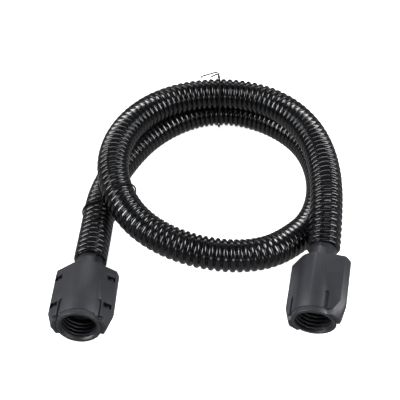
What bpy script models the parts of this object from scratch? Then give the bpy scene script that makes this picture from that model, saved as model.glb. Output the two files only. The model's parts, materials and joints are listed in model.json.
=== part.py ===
"""Corrugated pool and spa hose, coiled one and a half turns, with a swivel coupling at each end."""
import math

import bmesh
import bpy
import numpy as np
from mathutils import Matrix, Vector

# Driving dimensions, in metres
HOSE_RADIUS = 0.016
GAP = 0.0003

NECK_RADIUS = 0.0130
TAIL_BORE = 0.0105
TAIL_LENGTH = 0.077

BARREL_RADIUS = 0.0210
WING_HALF_WIDTH = 0.0302
WING_CREASE = 0.0282
WING_SLOPE = math.radians(35)
WING_TIP = 0.0025
BARREL_FRONT = -0.0022
BODY_BACK = -0.060

RING_RADIUS = 0.0206
RING_FRONT = 0.0030
SLEEVE_RADIUS = 0.0178
COLLAR_RADIUS = 0.0184
SLEEVE_BACK = -0.0365
THREAD_MINOR = 0.0154
THREAD_MAJOR = 0.0165
THREAD_PITCH = 0.0040
THREAD_TURNS = 4
SEAT = -0.0210
SEAT_BORE = 0.0110
SKIRT_BORE = 0.0146
KEY_BACK = -0.0300

FLANGE_RADIUS = 0.0170
FLANGE_BACK = -0.0400
NOSE_RADIUS = 0.0142
NOSE_FRONT = -0.0245
SEAL_PLACE = -0.0300
THRUST_BACK = -0.0435

GROOVE_X = 0.0179
GROOVE_WIDTH = 0.0042
GROOVE_BACK = -0.0200
GROOVE_DEPTH = 0.0019
TIP_INNER = (0.0232, 0.0090)
LATCH_X = 0.0244
LATCH_Z = (-0.0162, -0.0485)
LATCH_WIDTH = 0.0040

WIRE_RADIUS = 0.0006

# Each coupling: centre of its mouth, heading from the back view, nose-down tilt and roll
LEFT_MOUTH = Vector((-0.1116, -0.1597, 0.0221))
LEFT_TURN = (math.radians(2.8), math.radians(-1), math.radians(2))
RIGHT_MOUTH = Vector((0.1002, -0.1534, 0.0219))
RIGHT_TURN = (math.radians(10.7), math.radians(8.7), math.radians(211.5))

# Centre line of the hose between its ends, in millimetres, from the left coupling to the right one
ROUTE = (
    (-105, -33.5, 18.8), (-102, 5.5, 17.9), (-83, 64.5, 16.2), (-61, 99.5, 16.8), (18, 144.5, 18.2),
    (59, 137.5, 16.8), (109, 93.5, 16.2), (121, 59.5, 16.5), (117, -8.5, 16.2), (104, -34.5, 16.5),
    (90, -50.5, 18.5), (62, -73.5, 24.5), (-62, -47.5, 38.5), (-88, 0.5, 47.5), (-91, 24.5, 49.5),
    (-67, 96.5, 50), (-49, 114.5, 50), (21, 136.5, 50), (71, 122.5, 50), (100, 94.5, 49.5),
    (122, 21.5, 49.5), (119, -45.5, 44),
)
ROUTE_STEPS = 72
END_STUB = 0.003

# Each tie: the two stretches it holds and its tails from and to the knot, in millimetres;
# its wraps, as a stretch and the angles where the wire meets and leaves it
TIES = {
    "back_wire_tie": {
        "low": (18, 145, 18),
        "high": (18, 137, 50),
        "first_tail": ((-1.6, 142.5, 67), (-0.6, 148.4, 64.5), (14.5, 152, 67.2), (18.2, 151.5, 66)),
        "wraps": (("high", 62, 90), ("low", 90, 270), ("high", -90, 48)),
        "second_tail": ((18, 147.6, 66.5), (15.5, 146.6, 68.6), (8.6, 143, 67.6)),
    },
    "crossing_wire_tie": {
        "low": (-104, -16, 18),
        "high": (-81, -16, 44),
        "first_tail": ((-106, 8.5, 35.8), (-102.7, -7, 36), (-99.8, -14, 36.4)),
        "wraps": (("low", 53, 270), ("high", -90, 127)),
        "second_tail": (
            (-99.4, -17.5, 37), (-101.3, -31.5, 36.5), (-103.5, -40, 36.8), (-107.7, -42.5, 36.6),
        ),
    },
}


def clear_scene():
    for item in list(bpy.data.objects):
        bpy.data.objects.remove(item, do_unlink=True)


def material(name, colour, roughness, metallic=0.0):
    made = bpy.data.materials.new(name)
    made.use_nodes = True
    shader = made.node_tree.nodes["Principled BSDF"]
    shader.inputs["Base Color"].default_value = (*colour, 1.0)
    shader.inputs["Roughness"].default_value = roughness
    shader.inputs["Metallic"].default_value = metallic
    made.diffuse_color = (*colour, 1.0)
    return made


def place(name, data, look, parent=None):
    """Put one sub-part in the scene, in its parent's frame."""
    item = bpy.data.objects.new(name, data)
    bpy.context.scene.collection.objects.link(item)
    data.materials.clear()
    data.materials.append(look)
    item.parent = parent
    return item


def mesh_from(bm, name):
    bmesh.ops.recalc_face_normals(bm, faces=bm.faces[:])
    mesh = bpy.data.meshes.new(name)
    bm.to_mesh(mesh)
    bm.free()
    mesh.shade_smooth()
    mesh.set_sharp_from_angle(angle=math.radians(30))
    return mesh


def arc(centre, radius, start, end, steps):
    """Points on an arc, angles in degrees."""
    turns = [math.radians(start + (end - start) * step / steps) for step in range(steps + 1)]
    return [(centre[0] + radius * math.cos(turn), centre[1] + radius * math.sin(turn)) for turn in turns]


def prism(outline, low, high, across):
    """Extrude a closed outline of (x, y) points along Z, or of (x, z) points along Y."""
    def corner(a, b, height):
        return (a, height, b) if across == "Y" else (a, b, height)

    bm = bmesh.new()
    face = bm.faces.new([bm.verts.new(corner(a, b, low)) for a, b in outline])
    grown = bmesh.ops.extrude_face_region(bm, geom=[face])
    moved = [part for part in grown["geom"] if isinstance(part, bmesh.types.BMVert)]
    bmesh.ops.translate(bm, verts=moved, vec=Vector(corner(0, 0, high - low)))
    bmesh.ops.recalc_face_normals(bm, faces=bm.faces[:])
    return bm


def turned(profile, segments=48):
    """Spin a closed profile of (radius, height) points about the local Z axis."""
    bm = bmesh.new()
    loop = [bm.verts.new((radius, 0, height)) for radius, height in profile]
    edges = [bm.edges.new((loop[i - 1], loop[i])) for i in range(len(loop))]
    bmesh.ops.spin(bm, geom=loop + edges, axis=(0, 0, 1), cent=(0, 0, 0), angle=math.tau,
                   steps=segments, use_merge=True, use_duplicate=False)
    bmesh.ops.remove_doubles(bm, verts=bm.verts[:], dist=0.00001)
    bmesh.ops.recalc_face_normals(bm, faces=bm.faces[:])
    return bm


def box(low, high):
    bm = bmesh.new()
    size = [b - a for a, b in zip(low, high)]
    middle = [(a + b) / 2 for a, b in zip(low, high)]
    bmesh.ops.create_cube(bm, size=1, matrix=Matrix.Translation(middle) @ Matrix.Diagonal((*size, 1)))
    return bm


def slice_off(bm, point, normal):
    """Cut away everything beyond a plane and close the cut."""
    geometry = bm.verts[:] + bm.edges[:] + bm.faces[:]
    cut = bmesh.ops.bisect_plane(bm, geom=geometry, plane_co=point, plane_no=normal, clear_outer=True)
    rim = [part for part in cut["geom_cut"] if isinstance(part, bmesh.types.BMEdge)]
    bmesh.ops.contextual_create(bm, geom=rim)


def combined(mesh, steps):
    """Apply Boolean steps, each (operation, bmesh), and return the finished mesh."""
    body = bpy.data.objects.new("body", mesh)
    bpy.context.scene.collection.objects.link(body)
    tools = []
    for operation, bm in steps:
        tool = bpy.data.objects.new("tool", mesh_from(bm, "tool"))
        bpy.context.scene.collection.objects.link(tool)
        tools.append(tool)
        step = body.modifiers.new("step", "BOOLEAN")
        step.operation = operation
        step.solver = "EXACT"
        step.object = tool
    bpy.context.view_layer.update()
    result = bpy.data.meshes.new_from_object(body.evaluated_get(bpy.context.evaluated_depsgraph_get()))
    for item in tools + [body]:
        bpy.data.objects.remove(item, do_unlink=True)
    result.shade_smooth()
    result.set_sharp_from_angle(angle=math.radians(30))
    return result


# --- Coupling: local Z runs out of the mouth, Y is the window side, X runs across the wings ---

def coupling_frame(name, mouth, turn):
    """An empty at the mouth's centre, on the swivel axis."""
    yaw, tilt, roll = turn
    outwards = Vector((-math.sin(yaw) * math.cos(tilt), -math.cos(yaw) * math.cos(tilt), -math.sin(tilt)))
    level = Vector((math.cos(yaw), -math.sin(yaw), 0))
    up = outwards.cross(level)
    axes = Matrix((level, up, outwards)).transposed().to_4x4()
    frame = bpy.data.objects.new(name, None)
    bpy.context.scene.collection.objects.link(frame)
    frame.matrix_world = Matrix.Translation(mouth) @ axes @ Matrix.Rotation(roll, 4, "Z")
    return frame, outwards


def slope_height(x):
    """Height of the grip's sloping face above the parting plane."""
    return (BARREL_RADIUS - abs(x) * math.sin(WING_SLOPE)) / math.cos(WING_SLOPE)


def shell_blank():
    """Outer shape of one half of the grip, above the parting plane, before it is hollowed."""
    base = GAP / 2
    tangent = 90 - math.degrees(WING_SLOPE)
    crown = arc((0, 0), BARREL_RADIUS, tangent, 180 - tangent, 20)
    crease = slope_height(WING_CREASE)
    section = [(WING_HALF_WIDTH, base), (WING_CREASE, crease), *crown,
               (-WING_CREASE, crease), (-WING_HALF_WIDTH, base)]
    bm = prism(section, BODY_BACK, WING_TIP, "Z")

    # Bevel at the front corner of each wing
    for side in (1, -1):
        slice_off(bm, Vector((side * 0.0256, 0, WING_TIP)), Vector((side * 0.894, 0.342, 0.290)))
    return mesh_from(bm, "shell")


def shell_plan():
    """Plan outline of the grip, with rounded back corners."""
    corner = 0.0025
    side = WING_HALF_WIDTH + 0.001
    back = arc((WING_HALF_WIDTH - corner, BODY_BACK + corner), corner, 0, -90, 4)
    half = [(side, WING_TIP + 0.001), (side, BODY_BACK + corner)] + back
    mirrored = [(-x, z) for x, z in reversed(half)]
    return prism(half + mirrored, -0.03, 0.03, "Y")


def shell_cavity():
    """Turned hollow that holds the sleeve, the flange and the thrust ring."""
    ring = RING_RADIUS + GAP
    sleeve = SLEEVE_RADIUS + GAP
    collar = COLLAR_RADIUS + GAP
    neck = NECK_RADIUS + GAP
    chamber = THRUST_BACK - GAP
    return turned([
        (0, 0.006), (ring, 0.006), (ring, BARREL_FRONT), (sleeve, BARREL_FRONT), (sleeve, -0.0107),
        (collar, -0.0107), (collar, -0.0143), (sleeve, -0.0143), (sleeve, chamber), (neck, chamber),
        (neck, -0.0471), (0.0172, -0.0471), (0.0172, -0.0570), (neck, -0.0570), (neck, -0.0610),
        (0, -0.0610),
    ], 64)


def wing_pockets():
    """Step above the mouth, hollows in both wings, and the pockets of the sleeve's two keys."""
    reach, height = TIP_INNER
    steps = [("DIFFERENCE", box((-reach, height, BARREL_FRONT), (reach, 0.03, 0.01)))]
    for side in (1, -1):
        for low, high in ((-0.0540, -0.0340), (-0.0215, -0.0090)):
            near, far = sorted((side * 0.0205, side * 0.0268))
            steps.append(("DIFFERENCE", box((near, -0.001, low), (far, 0.0040, high))))
        near, far = sorted((side * 0.0170, side * 0.0233))
        pocket = box((near, -0.001, KEY_BACK - GAP), (far, 0.0023, KEY_BACK + 0.0063))
        steps.append(("DIFFERENCE", pocket))
    return steps


def grip_grooves():
    """Two round-ended grooves beside the mouth."""
    steps = []
    for side in (1, -1):
        half = GROOVE_WIDTH / 2
        outline = [(half, 0.0040), *arc((0, GROOVE_BACK + half), half, 0, -180, 12), (-half, 0.0040)]
        groove = prism(outline, -GROOVE_DEPTH, 0.0040, "Y")
        lean = Matrix.Rotation(-side * WING_SLOPE, 4, "Z")
        groove.transform(Matrix.Translation((side * GROOVE_X, slope_height(GROOVE_X), 0)) @ lean)
        steps.append(("DIFFERENCE", groove))
    return steps


def shell_cuts():
    """Boolean steps that both halves of the grip share."""
    steps = [("INTERSECT", shell_plan()), ("DIFFERENCE", shell_cavity())]
    return steps + wing_pockets() + grip_grooves()


def window_shell():
    """The half with four snap windows."""
    steps = shell_cuts()
    for side in (1, -1):
        for z in LATCH_Z:
            near, far = sorted((side * (LATCH_X - 0.0034), side * (LATCH_X + 0.0036)))
            half = LATCH_WIDTH / 2 + 0.0008
            steps.append(("DIFFERENCE", box((near, 0.0030, z - half), (far, 0.0200, z + half))))
    return combined(shell_blank(), steps)


def latch_shell():
    """The other half, with four latches that reach into the windows."""
    mesh = combined(shell_blank(), shell_cuts())
    mesh.transform(Matrix.Rotation(math.pi, 4, "Z"))
    latches = []
    for side in (1, -1):
        for z in LATCH_Z:
            near, far = sorted((side * (LATCH_X - 0.0028), side * (LATCH_X + 0.0021)))
            half = LATCH_WIDTH / 2
            stem = box((near, -0.0050, z - half), (far, 0.0036, z + half))
            latches.append(("UNION", stem))
            inner, outer = sorted((side * (LATCH_X - 0.0025), side * (LATCH_X + 0.0015)))
            hook = box((inner, 0.0033, z - half - 0.0001), (outer, 0.0052, z + half + 0.0001))
            latches.append(("UNION", hook))
    return combined(mesh, latches)


def threaded_sleeve():
    """Mouth ring, coarse female thread, washer seat, skirt for the seal and two keys."""
    thread = []
    start = -0.0019
    for turn in range(THREAD_TURNS):
        top = start - turn * THREAD_PITCH
        quarter = THREAD_PITCH / 4
        thread += [(THREAD_MINOR, top), (THREAD_MINOR, top - quarter),
                   (THREAD_MAJOR, top - 2 * quarter), (THREAD_MAJOR, top - 3 * quarter)]
    front = BARREL_FRONT + GAP
    outline = [
        (THREAD_MAJOR, RING_FRONT), (RING_RADIUS - 0.0006, RING_FRONT),
        (RING_RADIUS, RING_FRONT - 0.0006), (RING_RADIUS, front), (SLEEVE_RADIUS, front),
        (SLEEVE_RADIUS, -0.0110),
        (COLLAR_RADIUS, -0.0110), (COLLAR_RADIUS, -0.0140), (SLEEVE_RADIUS, -0.0140),
        (SLEEVE_RADIUS, SLEEVE_BACK), (SKIRT_BORE, SLEEVE_BACK), (SKIRT_BORE, SEAT - 0.0030),
        (SEAT_BORE, SEAT - 0.0030), (SEAT_BORE, SEAT), (THREAD_MAJOR, SEAT),
    ]
    mesh = mesh_from(turned(outline + thread[::-1], 56), "sleeve")
    keys = []
    for side in (1, -1):
        near, far = sorted((side * 0.0160, side * 0.0230))
        keys.append(("UNION", box((near, -0.0020, KEY_BACK), (far, 0.0020, KEY_BACK + 0.0060))))
    return combined(mesh, keys)


def hose_tail():
    """Neck with a through bore, a flange, and a nose with the seal's groove."""
    end = -TAIL_LENGTH + GAP
    flange_front = SLEEVE_BACK - GAP
    bed = NOSE_RADIUS - 0.0016
    mesh = mesh_from(turned([
        (TAIL_BORE, NOSE_FRONT), (NOSE_RADIUS - 0.0006, NOSE_FRONT), (NOSE_RADIUS, NOSE_FRONT - 0.0006),
        (NOSE_RADIUS, SEAL_PLACE + 0.0010), (bed, SEAL_PLACE + 0.0010), (bed, SEAL_PLACE - 0.0010),
        (NOSE_RADIUS, SEAL_PLACE - 0.0010), (NOSE_RADIUS, flange_front), (FLANGE_RADIUS, flange_front),
        (FLANGE_RADIUS, FLANGE_BACK), (NECK_RADIUS, FLANGE_BACK), (NECK_RADIUS, end), (TAIL_BORE, end),
    ]), "tail")
    lean = Matrix.Rotation(math.radians(-39), 4, "Z")
    slot = box((-0.0020, NECK_RADIUS - 0.0010, end - 0.001), (0.0020, NECK_RADIUS + 0.002, -0.0600))
    slot.transform(lean)
    return combined(mesh, [("DIFFERENCE", slot)])


def flat_ring(name, inner, outer, low, high):
    return mesh_from(turned([(inner, low), (inner, high), (outer, high), (outer, low)]), name)


def o_ring():
    section = arc((0.01365, SEAL_PLACE), 0.00072, 0, 360, 12)[:-1]
    return mesh_from(turned(section), "o_ring")


def coupling(name, mouth, turn, looks):
    """Build one coupling. Returns its outward axis."""
    frame, outwards = coupling_frame(name + "_swivel", mouth, turn)
    place(name + "_window_shell", window_shell(), looks["shell"], frame)
    place(name + "_latch_shell", latch_shell(), looks["shell_b"], frame)
    place(name + "_threaded_sleeve", threaded_sleeve(), looks["sleeve"], frame)
    washer = flat_ring("washer", SEAT_BORE, THREAD_MINOR - 0.0006, SEAT + GAP, SEAT + 0.0025)
    place(name + "_seal_washer", washer, looks["seal"], frame)
    place(name + "_hose_tail", hose_tail(), looks["tail"], frame)
    place(name + "_o_ring", o_ring(), looks["o_ring"], frame)
    thrust = flat_ring("thrust", NECK_RADIUS + 0.0005, 0.0175, THRUST_BACK, FLANGE_BACK - GAP)
    place(name + "_thrust_ring", thrust, looks["thrust"], frame)
    return outwards


# --- Hose and wire ties ---

def smooth_line(points, start_heading, end_heading, steps):
    """Clamped cubic spline through the points, sampled at equal steps of its chord length."""
    knots = np.array(points, float)
    gaps = np.linalg.norm(np.diff(knots, axis=0), axis=1)
    at = np.concatenate([[0], np.cumsum(gaps)])
    count = len(knots)
    system = np.zeros((count, count))
    target = np.zeros((count, 3))
    system[0, 0] = system[-1, -1] = 1
    target[0] = start_heading
    target[-1] = end_heading
    for i in range(1, count - 1):
        before, after = gaps[i - 1], gaps[i]
        system[i, i - 1:i + 2] = after, 2 * (before + after), before
        rise = (knots[i] - knots[i - 1]) * after / before + (knots[i + 1] - knots[i]) * before / after
        target[i] = 3 * rise
    slopes = np.linalg.solve(system, target)
    line = []
    for where in np.linspace(0, at[-1], steps):
        i = min(np.searchsorted(at, where, side="right") - 1, count - 2)
        t = (where - at[i]) / gaps[i]
        line.append(
            (2 * t ** 3 - 3 * t ** 2 + 1) * knots[i] + (t ** 3 - 2 * t ** 2 + t) * gaps[i] * slopes[i]
            + (3 * t ** 2 - 2 * t ** 3) * knots[i + 1] + (t ** 3 - t ** 2) * gaps[i] * slopes[i + 1])
    return [Vector(point) for point in line]


def round_tube(name, points, radius, resolution, closed=False):
    """A curve object's data: a round tube along the points."""
    curve = bpy.data.curves.new(name, "CURVE")
    curve.dimensions = "3D"
    curve.bevel_depth = radius
    curve.bevel_resolution = resolution
    curve.use_fill_caps = not closed
    curve.twist_mode = "MINIMUM"
    spline = curve.splines.new("POLY")
    spline.points.add(len(points) - 1)
    for point, where in zip(spline.points, points):
        point.co = (*where, 1.0)
    spline.use_cyclic_u = closed
    return curve


def nearest(line, place):
    """Point of the centre line nearest to a place, and the line's direction there."""
    found = []
    for i in range(1, len(line) - 2):
        step = line[i + 1] - line[i]
        part = min(max((place - line[i]).dot(step) / step.length_squared, 0), 1)
        point = line[i] + part * step
        heading = (line[i + 1] - line[i - 1]).lerp(line[i + 2] - line[i], part)
        found.append(((point - place).length, point, heading.normalized()))
    return min(found, key=lambda item: item[0])[1:]


def around(centre, along, upwards, start, end):
    """Points of wire round one stretch of hose. Angles, in degrees, run from upwards to its left."""
    top = (upwards - upwards.dot(along) * along).normalized()
    left = top.cross(along)
    steps = math.ceil(abs(end - start) / 15)
    turns = arc((0, 0), HOSE_RADIUS + 2 * GAP + WIRE_RADIUS, start, end, steps)
    return [centre + a * top + b * left for a, b in turns]


def wire_tie(line, tie):
    """Open run of wire: one tail, the wrap round two stretches of the hose, the other tail."""
    low, low_along = nearest(line, Vector(tie["low"]) / 1000)
    high, high_along = nearest(line, Vector(tie["high"]) / 1000)
    if low_along.dot(high_along) < 0:
        low_along = -low_along
    wrap = []
    for where, start, end in tie["wraps"]:
        centre, along = (low, low_along) if where == "low" else (high, high_along)
        wrap += around(centre, along, high - low, start, end)
    # The wrap drifts along the hose, so that its two ends pass side by side at the knot
    drift = high_along * (WIRE_RADIUS + GAP)
    last = len(wrap) - 1
    wrap = [point + drift * (2 * i / last - 1) for i, point in enumerate(wrap)]
    first_tail = [Vector(point) / 1000 for point in tie["first_tail"]]
    second_tail = [Vector(point) / 1000 for point in tie["second_tail"]]
    return first_tail + wrap + second_tail


def build():
    clear_scene()
    looks = {
        "hose": material("hose_black", (0.012, 0.012, 0.013), 0.25),
        "shell": material("grip_grey", (0.115, 0.118, 0.125), 0.55),
        "shell_b": material("grip_grey_b", (0.105, 0.108, 0.115), 0.55),
        "sleeve": material("sleeve_grey", (0.085, 0.087, 0.092), 0.5),
        "tail": material("tail_grey", (0.10, 0.103, 0.11), 0.5),
        "seal": material("seal_rubber", (0.02, 0.02, 0.02), 0.8),
        "o_ring": material("o_ring_rubber", (0.015, 0.015, 0.015), 0.6),
        "thrust": material("thrust_white", (0.7, 0.7, 0.68), 0.45),
        "wire": material("tie_black", (0.01, 0.01, 0.01), 0.4),
    }
    left_axis = coupling("left", LEFT_MOUTH, LEFT_TURN, looks)
    right_axis = coupling("right", RIGHT_MOUTH, RIGHT_TURN, looks)

    start = LEFT_MOUTH - TAIL_LENGTH * left_axis
    end = RIGHT_MOUTH - TAIL_LENGTH * right_axis
    route = [start, *(Vector(point) / 1000 for point in ROUTE), end]
    line = smooth_line(route, -left_axis, right_axis, ROUTE_STEPS)
    # A short straight start and end keep the hose's end faces square to the necks
    line.insert(1, start - END_STUB * left_axis)
    line.insert(-1, end - END_STUB * right_axis)
    place("hose", round_tube("hose", line, HOSE_RADIUS, 4), looks["hose"])

    for name, tie in TIES.items():
        place(name, round_tube(name, wire_tie(line, tie), WIRE_RADIUS, 2), looks["wire"])


build()
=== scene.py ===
"""Corrugated pool and spa hose in one and a half loops, with its couplings and wire ties."""
import json
import math

import bmesh
import bpy
import numpy as np
from mathutils import Matrix, Vector

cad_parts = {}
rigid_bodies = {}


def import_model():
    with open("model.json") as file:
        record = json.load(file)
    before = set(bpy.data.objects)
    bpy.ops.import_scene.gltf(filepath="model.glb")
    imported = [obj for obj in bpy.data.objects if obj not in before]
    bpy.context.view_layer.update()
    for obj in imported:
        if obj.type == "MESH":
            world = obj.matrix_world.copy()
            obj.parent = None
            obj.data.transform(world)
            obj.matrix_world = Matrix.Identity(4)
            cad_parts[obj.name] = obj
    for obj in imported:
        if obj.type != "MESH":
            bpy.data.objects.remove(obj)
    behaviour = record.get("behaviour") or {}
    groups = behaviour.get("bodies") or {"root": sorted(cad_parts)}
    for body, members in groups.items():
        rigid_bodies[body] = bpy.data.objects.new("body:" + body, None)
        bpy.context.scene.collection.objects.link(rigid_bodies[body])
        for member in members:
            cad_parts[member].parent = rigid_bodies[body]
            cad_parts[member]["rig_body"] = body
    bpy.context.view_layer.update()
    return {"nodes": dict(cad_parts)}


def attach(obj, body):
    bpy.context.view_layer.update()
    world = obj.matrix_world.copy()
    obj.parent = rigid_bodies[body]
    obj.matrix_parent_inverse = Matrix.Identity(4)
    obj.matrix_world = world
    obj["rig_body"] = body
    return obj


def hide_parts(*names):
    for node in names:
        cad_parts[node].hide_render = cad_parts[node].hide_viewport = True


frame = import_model()
scene = bpy.context.scene

# Camera: place in metres, focal length and sensor width in millimetres, tilt from straight down in degrees
CAMERA_PLACE = (-0.0028, -0.69146, 0.71296)
CAMERA_LENS = 86.58
CAMERA_SENSOR = 36
CAMERA_TILT = 45

# Hose, in metres
CREST = 0.01595
RIB_DEPTH = 0.0023
RIB_PITCH = 0.0064
RIB_SHARPNESS = 2.6
HOSE_BORE = 0.0127
BORE_SHOWN = 0.008

# From the centre of a coupling's mouth back to the end of the hose
TAIL_LENGTH = 0.077

# Fineness of the hose
RINGS_PER_RIB = 11
SIDES = 44
CENTRE_LINE_STEPS = 4000

# Threaded sleeve, in metres, with heights measured from the mouth along the coupling's axis
RING_RADIUS = 0.0206
RING_FRONT = 0.0030
RING_BACK = -0.0019
RING_ROUNDING = 0.0006
THREAD_MINOR = 0.0160
THREAD_MAJOR = 0.0172
THREAD_PITCH = 0.0040
THREAD_FRONT = 0.0016
THREAD_BACK = -0.0185
THREAD_LEAD_IN = 0.0016
THREAD_RUN_OUT = 0.0012
THREAD_MARGIN = 0.0004
MOUTH_RADIUS = THREAD_MAJOR + 0.0003
MOUTH_ROUNDING = 0.0004
SLEEVE_RADIUS = 0.0178
SLEEVE_BACK = -0.0365
COLLAR_RADIUS = 0.0190
COLLAR_FRONT = -0.0110
COLLAR_BACK = -0.0140
COLLAR_SLOPE = 0.0002
SKIRT_BORE = 0.0146
SEAT_BORE = 0.0110
SEAT_FRONT = -0.0210
SEAT_BACK = -0.0240
KEY_PLACE = (0.0204, 0, -0.0270)
KEY_SIZE = (0.0052, 0.0040, 0.0060)

# Thread ridge across one pitch: its height before it is levelled off at 1, and its fall per pitch
RIDGE_HEIGHT = 1.9
RIDGE_FALL = 6.4

# Fineness of the sleeve
SLEEVE_SIDES = 128
STEPS_PER_THREAD = 12
STEPS_PER_CORNER = 4

EDGE_ROUNDING = 0.00035
WIRE_COVER = 0.0002
WELD = 0.00001

# Angles between faces, in degrees
SAME_PLANE = 1
ROUNDED_ABOVE = 25
SHELL_CREASE = 30
SLEEVE_CREASE = 40
TUBE_CREASE = 60

# Each coupling: centre of its mouth, then its yaw, tilt and roll in degrees
COUPLINGS = {
    "left": (Vector((-0.1116, -0.1597, 0.0221)), (2.8, -1, 2)),
    "right": (Vector((0.1002, -0.1534, 0.0219)), (10.7, 8.7, 211.5)),
}

# Centre line of the hose between its ends, in millimetres, from the left coupling to the right one
ROUTE = (
    (-105, -33.5, 18.8), (-102, 5.5, 17.9), (-83, 64.5, 16.2), (-61, 99.5, 16.8), (18, 144.5, 18.2),
    (59, 137.5, 16.8), (109, 93.5, 16.2), (121, 59.5, 16.5), (117, -8.5, 16.2), (104, -34.5, 16.5),
    (90, -50.5, 18.5), (62, -73.5, 24.5), (-62, -47.5, 38.5), (-88, 0.5, 47.5), (-91, 24.5, 49.5),
    (-67, 96.5, 50), (-49, 114.5, 50), (21, 136.5, 50), (71, 122.5, 50), (100, 94.5, 49.5),
    (122, 21.5, 49.5), (119, -45.5, 44),
)

# Each coupling piece's material, and its slot in the record
FINISHES = {
    "window_shell": ("grip", "grip"),
    "latch_shell": ("grip", "grip_b"),
    "threaded_sleeve": ("sleeve", "sleeve"),
    "hose_tail": ("sleeve", "tail"),
    "seal_washer": ("seal", "seal"),
    "o_ring": ("seal", "o_ring"),
    "thrust_ring": ("thrust", "thrust"),
}

# Floor, in metres, its colour and its own light
FLOOR_SIZE = 4
FLOOR_DROP = 0.0003
FLOOR_TONE = 0.9
FLOOR_GLOW = 0.93

# Each light box: place and size in metres, then power in watts
LIGHTS = {
    "left_side_box": ((-1.35, -0.30, 0.95), (0.5, 1.2), 38),
    "right_side_box": ((1.35, -0.30, 0.95), (0.5, 1.2), 33),
    "left_back_box": ((-1.2, 1.2, 0.45), (0.8, 0.6), 1.4),
    "right_back_box": ((1.2, 1.2, 0.45), (0.8, 0.6), 1.0),
    "back_box": ((0.0, 1.5, 1.15), (1.5, 0.3), 9),
    "front_low_box": ((0.25, -1.7, 0.55), (1.0, 0.3), 7),
}
LIGHT_TARGET = (0, 0, 0.03)

# Strength of the surroundings below and above the horizon, and the heights between which it changes
BELOW_TO_ABOVE = (0.42, 0.10)
HORIZON = (-0.15, 0.05)


# --- Camera ---

def make_camera():
    data = bpy.data.cameras.new("camera")
    data.lens = CAMERA_LENS
    data.sensor_width = CAMERA_SENSOR
    camera = bpy.data.objects.new("camera", data)
    scene.collection.objects.link(camera)
    camera.location = CAMERA_PLACE
    camera.rotation_euler = (math.radians(CAMERA_TILT), 0, 0)
    scene.camera = camera


# --- Helpers ---

def place(name, mesh, look, body):
    """Add a mesh to the scene in one material, riding on a body."""
    item = bpy.data.objects.new(name, mesh)
    scene.collection.objects.link(item)
    mesh.materials.append(look)
    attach(item, body)
    return item


def smoothed(mesh, crease):
    """The mesh, shaded smooth except at edges sharper than the crease angle in degrees."""
    mesh.shade_smooth()
    mesh.set_sharp_from_angle(angle=math.radians(crease))
    return mesh


def mesh_from(bm, name, crease):
    mesh = bpy.data.meshes.new(name)
    bm.to_mesh(mesh)
    bm.free()
    return smoothed(mesh, crease)


def welded(node):
    """An editable copy of a node's mesh, with the points that coincide joined."""
    bm = bmesh.new()
    bm.from_mesh(node.data)
    bmesh.ops.remove_doubles(bm, verts=bm.verts[:], dist=WELD)
    return bm


def limited(value):
    return min(max(value, 0.0), 1.0)


def coupling_matrix(mouth, turn):
    """The coupling's matrix (Z out of the mouth, Y towards the windows, X across the wings), and its axis."""
    yaw, tilt, roll = (math.radians(angle) for angle in turn)
    outwards = Vector((-math.sin(yaw) * math.cos(tilt), -math.cos(yaw) * math.cos(tilt), -math.sin(tilt)))
    level = Vector((math.cos(yaw), -math.sin(yaw), 0))
    up = outwards.cross(level)
    axes = Matrix((level, up, outwards)).transposed().to_4x4()
    return Matrix.Translation(mouth) @ axes @ Matrix.Rotation(roll, 4, "Z"), outwards


# --- Hose ---

def smooth_line(points, start_heading, end_heading, steps):
    """Clamped cubic spline through the points, sampled at equal steps of its chord length."""
    knots = np.array(points, float)
    gaps = np.linalg.norm(np.diff(knots, axis=0), axis=1)
    at = np.concatenate([[0], np.cumsum(gaps)])
    count = len(knots)
    system = np.zeros((count, count))
    target = np.zeros((count, 3))
    system[0, 0] = system[-1, -1] = 1
    target[0] = start_heading
    target[-1] = end_heading
    for i in range(1, count - 1):
        before, after = gaps[i - 1], gaps[i]
        system[i, i - 1:i + 2] = after, 2 * (before + after), before
        rise = (knots[i] - knots[i - 1]) * after / before + (knots[i + 1] - knots[i]) * before / after
        target[i] = 3 * rise
    slopes = np.linalg.solve(system, target)
    where = np.linspace(0, at[-1], steps)
    i = np.clip(np.searchsorted(at, where, side="right") - 1, 0, count - 2)
    t = ((where - at[i]) / gaps[i])[:, None]
    gap = gaps[i][:, None]
    return ((2 * t ** 3 - 3 * t ** 2 + 1) * knots[i] + (t ** 3 - 2 * t ** 2 + t) * gap * slopes[i]
            + (3 * t ** 2 - 2 * t ** 3) * knots[i + 1] + (t ** 3 - t ** 2) * gap * slopes[i + 1])


def even_steps(line, step):
    """The same line with points at an equal distance along it, and each one's distance from the start."""
    lengths = np.concatenate([[0], np.cumsum(np.linalg.norm(np.diff(line, axis=0), axis=1))])
    wanted = np.linspace(0, lengths[-1], int(round(lengths[-1] / step)) + 1)
    return np.stack([np.interp(wanted, lengths, line[:, k]) for k in range(3)], 1), wanted


def carried_frames(line):
    """The heading at each point, and two cross directions that are carried along without twist."""
    tangents = np.gradient(line, axis=0)
    tangents /= np.linalg.norm(tangents, axis=1)[:, None]
    side = np.cross(tangents[0], (0, 0, 1))
    side /= np.linalg.norm(side)
    sides = []
    for tangent in tangents:
        side = side - side.dot(tangent) * tangent
        side /= np.linalg.norm(side)
        sides.append(side)
    sides = np.array(sides)
    return tangents, sides, np.cross(tangents, sides)


def rib(phase):
    """Depth below the crest, from 0 to 1: a broad rounded crest and a narrow valley."""
    wave = 0.5 - 0.5 * np.cos(math.tau * phase)
    return wave ** RIB_SHARPNESS


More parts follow.
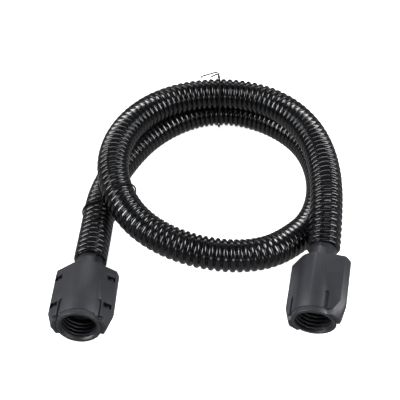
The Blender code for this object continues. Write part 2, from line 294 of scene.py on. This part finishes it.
def hose_centre_line():
    lefts, rights = COUPLINGS["left"], COUPLINGS["right"]
    left_axis = coupling_matrix(*lefts)[1]
    right_axis = coupling_matrix(*rights)[1]
    start = lefts[0] - TAIL_LENGTH * left_axis
    end = rights[0] - TAIL_LENGTH * right_axis
    route = [start, *(Vector(point) / 1000 for point in ROUTE), end]
    return smooth_line(route, -left_axis, right_axis, CENTRE_LINE_STEPS)


def hose_mesh(line):
    """The ribbed tube with its cut ends, and the evenly stepped line that it follows."""
    line, along = even_steps(line, RIB_PITCH / RINGS_PER_RIB)
    tangents, sides, ups = carried_frames(line)
    angles = np.arange(SIDES) * math.tau / SIDES
    phase = along[:, None] / RIB_PITCH - angles[None, :] / math.tau
    radius = CREST - RIB_DEPTH * rib(phase)
    ring = np.cos(angles)[None, :, None] * sides[:, None, :] + np.sin(angles)[None, :, None] * ups[:, None, :]
    outer = line[:, None, :] + radius[:, :, None] * ring

    def bore_ring(at, into):
        """A ring on the bore, at one end of the hose, some way inside it."""
        return (line[at] + into * tangents[at])[None, None, :] + HOSE_BORE * ring[at][None, :, :]

    # The cut ends show the wall, and the bore runs a little way in
    first = [bore_ring(0, BORE_SHOWN), bore_ring(0, 0.0)]
    last = [bore_ring(-1, 0.0), bore_ring(-1, -BORE_SHOWN)]
    rings = np.concatenate([*first, outer, *last])
    verts = rings.reshape(-1, 3)
    rows = np.arange(len(rings) - 1)[:, None] * SIDES
    cols = np.arange(SIDES)[None, :]
    nxt = (cols + 1) % SIDES
    quads = np.stack([rows + cols, rows + nxt, rows + SIDES + nxt, rows + SIDES + cols], -1).reshape(-1, 4)
    mesh = bpy.data.meshes.new("hose_tube")
    mesh.from_pydata(verts.tolist(), [], quads.tolist())
    return smoothed(mesh, TUBE_CREASE), line


# --- Coupling pieces ---

def softened(node, width):
    """A copy of a node's mesh with its sharp edges rounded off."""
    bm = welded(node)
    bmesh.ops.dissolve_limit(bm, angle_limit=math.radians(SAME_PLANE), verts=bm.verts[:], edges=bm.edges[:])
    sharp = [edge for edge in bm.edges
             if len(edge.link_faces) == 2 and edge.calc_face_angle(0) > math.radians(ROUNDED_ABOVE)]
    bmesh.ops.bevel(bm, geom=sharp, offset=width, offset_type="OFFSET", segments=2, profile=0.5,
                    affect="EDGES", clamp_overlap=True)
    return mesh_from(bm, node.name + "_soft", SHELL_CREASE)


def thread_radius(height, turn):
    """Radius of the helical female thread, with a lead-in at its front and a relief at its back."""
    wave = (height / THREAD_PITCH - turn / math.tau) % 1.0
    ridge = limited(RIDGE_HEIGHT - abs(wave - 0.5) * RIDGE_FALL)
    ridge = ridge * ridge * (3 - 2 * ridge)
    fade = limited((THREAD_FRONT - height) / THREAD_LEAD_IN)
    fade *= limited((height - THREAD_BACK) / THREAD_RUN_OUT)
    return THREAD_MAJOR - (THREAD_MAJOR - THREAD_MINOR) * ridge * fade


def front_corner(radius, inset):
    """Points round a corner of the mouth ring's front, from the flat face to the wall at this radius."""
    points = []
    for step in range(STEPS_PER_CORNER + 1):
        turn = math.radians(90 * step / STEPS_PER_CORNER)
        points.append((radius + inset * (1 - math.sin(turn)),
                       RING_FRONT - abs(inset) * (1 - math.cos(turn))))
    return points


def sleeve_mesh(pose):
    """Mouth ring, sleeve and helical thread, turned as one closed skin, with its two keys."""
    edge = front_corner(RING_RADIUS, -RING_ROUNDING)
    rim = front_corner(MOUTH_RADIUS, MOUTH_ROUNDING)[::-1]
    outer = [(RING_RADIUS, RING_BACK), (SLEEVE_RADIUS, RING_BACK), (SLEEVE_RADIUS, COLLAR_FRONT),
             (COLLAR_RADIUS, COLLAR_FRONT - COLLAR_SLOPE), (COLLAR_RADIUS, COLLAR_BACK + COLLAR_SLOPE),
             (SLEEVE_RADIUS, COLLAR_BACK), (SLEEVE_RADIUS, SLEEVE_BACK), (SKIRT_BORE, SLEEVE_BACK),
             (SKIRT_BORE, SEAT_BACK), (SEAT_BORE, SEAT_BACK), (SEAT_BORE, SEAT_FRONT),
             (THREAD_MAJOR, SEAT_FRONT)]
    threads = np.arange(THREAD_BACK - THREAD_MARGIN, THREAD_FRONT + THREAD_MARGIN,
                        THREAD_PITCH / STEPS_PER_THREAD)
    bm = bmesh.new()
    rows = []
    for side in range(SLEEVE_SIDES):
        turn = math.tau * side / SLEEVE_SIDES
        loop = [*edge, *outer, *((thread_radius(height, turn), height) for height in threads), *rim]
        rows.append([bm.verts.new((radius * math.cos(turn), radius * math.sin(turn), height))
                     for radius, height in loop])
    for here, there in zip(rows, rows[1:] + rows[:1]):
        for k in range(len(here)):
            after = (k + 1) % len(here)
            bm.faces.new((here[k], here[after], there[after], there[k]))
    across, forward, height = KEY_PLACE
    for side in (1, -1):
        middle = Matrix.Translation((side * across, forward, height))
        bmesh.ops.create_cube(bm, size=1, matrix=middle @ Matrix.Diagonal((*KEY_SIZE, 1)))
    bmesh.ops.recalc_face_normals(bm, faces=bm.faces[:])
    bm.transform(pose)
    return mesh_from(bm, "sleeve", SLEEVE_CREASE)


def plump_wire(node):
    """A copy of a tie's mesh, thickened by its plastic cover."""
    bm = welded(node)
    bm.normal_update()
    for vert in bm.verts:
        vert.co += WIRE_COVER * vert.normal
    return mesh_from(bm, node.name + "_covered", TUBE_CREASE)


# --- Materials ---

def new_material(name):
    made = bpy.data.materials.new(name)
    made.use_nodes = True
    tree = made.node_tree
    return made, tree, tree.nodes["Principled BSDF"]


def noise(tree, scale, detail=4.0):
    coords = tree.nodes.new("ShaderNodeTexCoord")
    node = tree.nodes.new("ShaderNodeTexNoise")
    node.inputs["Scale"].default_value = scale
    node.inputs["Detail"].default_value = detail
    node.inputs["Roughness"].default_value = 0.55
    tree.links.new(coords.outputs["Object"], node.inputs["Vector"])
    return node.outputs["Fac"]


def ramp(tree, value, taken, given=(0.0, 1.0)):
    """Map the taken range of a value onto the given range."""
    node = tree.nodes.new("ShaderNodeMapRange")
    node.inputs["From Min"].default_value, node.inputs["From Max"].default_value = taken
    node.inputs["To Min"].default_value, node.inputs["To Max"].default_value = given
    tree.links.new(value, node.inputs["Value"])
    return node.outputs["Result"]


def mixer(tree, factor):
    node = tree.nodes.new("ShaderNodeMix")
    node.data_type = "RGBA"
    tree.links.new(factor, node.inputs["Factor"])
    return node


def colours(tree, value, dark, light):
    node = mixer(tree, value)
    node.inputs["A"].default_value = (*dark, 1)
    node.inputs["B"].default_value = (*light, 1)
    return node.outputs["Result"]


def bump(tree, height, distance):
    node = tree.nodes.new("ShaderNodeBump")
    node.inputs["Strength"].default_value = 1.0
    node.inputs["Distance"].default_value = distance
    tree.links.new(height, node.inputs["Height"])
    return node.outputs["Normal"]


def painted_edge_highlights(tree):
    """Painted highlight: a value that rises on sharp edges, broken up by fine noise."""
    geometry = tree.nodes.new("ShaderNodeNewGeometry")
    edge = ramp(tree, geometry.outputs["Pointiness"], (0.53, 0.62))
    spread = ramp(tree, noise(tree, 1400, 3), (0.4, 0.65), (0.25, 0.9))
    product = tree.nodes.new("ShaderNodeMath")
    product.operation = "MULTIPLY"
    tree.links.new(edge, product.inputs[0])
    tree.links.new(spread, product.inputs[1])
    return product.outputs["Value"]


def dress(tree, shader, colour, roughness, normal):
    tree.links.new(colour, shader.inputs["Base Color"])
    tree.links.new(roughness, shader.inputs["Roughness"])
    tree.links.new(normal, shader.inputs["Normal"])


def hose_plastic():
    made, tree, shader = new_material("hose_black_gloss")
    shader.inputs["IOR"].default_value = 1.5
    tone = ramp(tree, noise(tree, 60), (0.35, 0.7))
    skin = colours(tree, tone, (0.0025, 0.0027, 0.0036), (0.005, 0.0053, 0.0066))
    rough = ramp(tree, noise(tree, 220, 6), (0.3, 0.75), (0.15, 0.21))
    dress(tree, shader, skin, rough, bump(tree, noise(tree, 140, 2), 0.00003))
    return made


def grip_plastic(name, dark, light, rough, gloss=0.5):
    """Fine-grained plastic between two tones, with a painted highlight that makes its sharp edges paler."""
    made, tree, shader = new_material(name)
    shader.inputs["Specular IOR Level"].default_value = gloss
    tone = ramp(tree, noise(tree, 90, 5), (0.3, 0.7))
    edge_highlight = mixer(tree, painted_edge_highlights(tree))
    tree.links.new(colours(tree, tone, dark, light), edge_highlight.inputs["A"])
    # Painted highlight: sharp edges take a colour 3.2 times paler than the light tone
    edge_highlight.inputs["B"].default_value = (*[min(3.2 * part, 1) for part in light], 1)
    roughness = ramp(tree, noise(tree, 500, 4), (0.3, 0.7), rough)
    dress(tree, shader, edge_highlight.outputs["Result"], roughness, bump(tree, noise(tree, 2600, 2), 0.00005))
    return made


def floor_paint():
    made, tree, shader = new_material("floor_white")
    shader.inputs["Base Color"].default_value = (FLOOR_TONE, FLOOR_TONE, FLOOR_TONE, 1)
    shader.inputs["Roughness"].default_value = 0.9
    shader.inputs["Emission Color"].default_value = (1, 1, 1, 1)
    shader.inputs["Emission Strength"].default_value = FLOOR_GLOW
    return made


def make_looks():
    """Every material of the object; a plastic has its dark and light tone, then its range of roughness."""
    return {
        "hose": hose_plastic(),
        "grip": grip_plastic("grip_grey", (0.0115, 0.0123, 0.0158), (0.0165, 0.0176, 0.0225), (0.44, 0.52)),
        "sleeve": grip_plastic("sleeve_grey", (0.014, 0.0148, 0.0182), (0.020, 0.0212, 0.026), (0.36, 0.46)),
        "seal": grip_plastic("seal_rubber", (0.008, 0.008, 0.008), (0.014, 0.014, 0.014), (0.6, 0.8)),
        "thrust": grip_plastic("thrust_white", (0.55, 0.55, 0.53), (0.68, 0.68, 0.66), (0.4, 0.5)),
        "wire": grip_plastic("tie_black", (0.003, 0.003, 0.003), (0.006, 0.006, 0.006), (0.55, 0.7), 0.12),
    }


# --- Stage ---

def make_stage():
    bm = bmesh.new()
    bmesh.ops.create_grid(bm, x_segments=1, y_segments=1, size=FLOOR_SIZE)
    mesh = bpy.data.meshes.new("floor")
    bm.to_mesh(mesh)
    bm.free()
    floor = bpy.data.objects.new("floor", mesh)
    scene.collection.objects.link(floor)
    floor.location = (0, 0, -FLOOR_DROP)
    mesh.materials.append(floor_paint())
    floor.visible_glossy = False
    floor.visible_diffuse = False


def area_light(name, spot, size, power):
    data = bpy.data.lights.new(name, "AREA")
    data.shape = "RECTANGLE"
    data.size, data.size_y = size
    data.energy = power
    item = bpy.data.objects.new(name, data)
    scene.collection.objects.link(item)
    item.location = spot
    heading = Vector(LIGHT_TARGET) - Vector(spot)
    item.rotation_euler = heading.to_track_quat("-Z", "Y").to_euler()


def make_surroundings():
    """White all round, brighter below the horizon for the light that bounces off the floor."""
    world = bpy.data.worlds.new("studio")
    scene.world = world
    world.use_nodes = True
    tree = world.node_tree
    back = tree.nodes["Background"]
    back.inputs["Color"].default_value = (1, 1, 1, 1)
    coords = tree.nodes.new("ShaderNodeTexCoord")
    split = tree.nodes.new("ShaderNodeSeparateXYZ")
    tree.links.new(coords.outputs["Generated"], split.inputs["Vector"])
    tree.links.new(ramp(tree, split.outputs["Z"], HORIZON, BELOW_TO_ABOVE), back.inputs["Strength"])
    scene.view_settings.view_transform = "Standard"


# --- The object ---

make_camera()
looks = make_looks()
fine = {"left": [], "right": []}
for side, (mouth, turn) in COUPLINGS.items():
    pose = coupling_matrix(mouth, turn)[0]
    for part, (finish, slot) in FINISHES.items():
        node = frame["nodes"][side + "_" + part]
        mesh = sleeve_mesh(pose) if part == "threaded_sleeve" else softened(node, EDGE_ROUNDING)
        piece = place(node.name + "_fine", mesh, looks[finish], node["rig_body"])
        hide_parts(node.name)
        fine[side].append(piece)
for name in ("back_wire_tie", "crossing_wire_tie"):
    piece = place(name + "_fine", plump_wire(frame["nodes"][name]), looks["wire"], "hose_line")
    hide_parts(name)

tube, path = hose_mesh(hose_centre_line())
hose = place("hose_tube", tube, looks["hose"], "hose_line")
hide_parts("hose")

make_stage()
for name, (spot, size, power) in LIGHTS.items():
    area_light(name, spot, size, power)
make_surroundings()
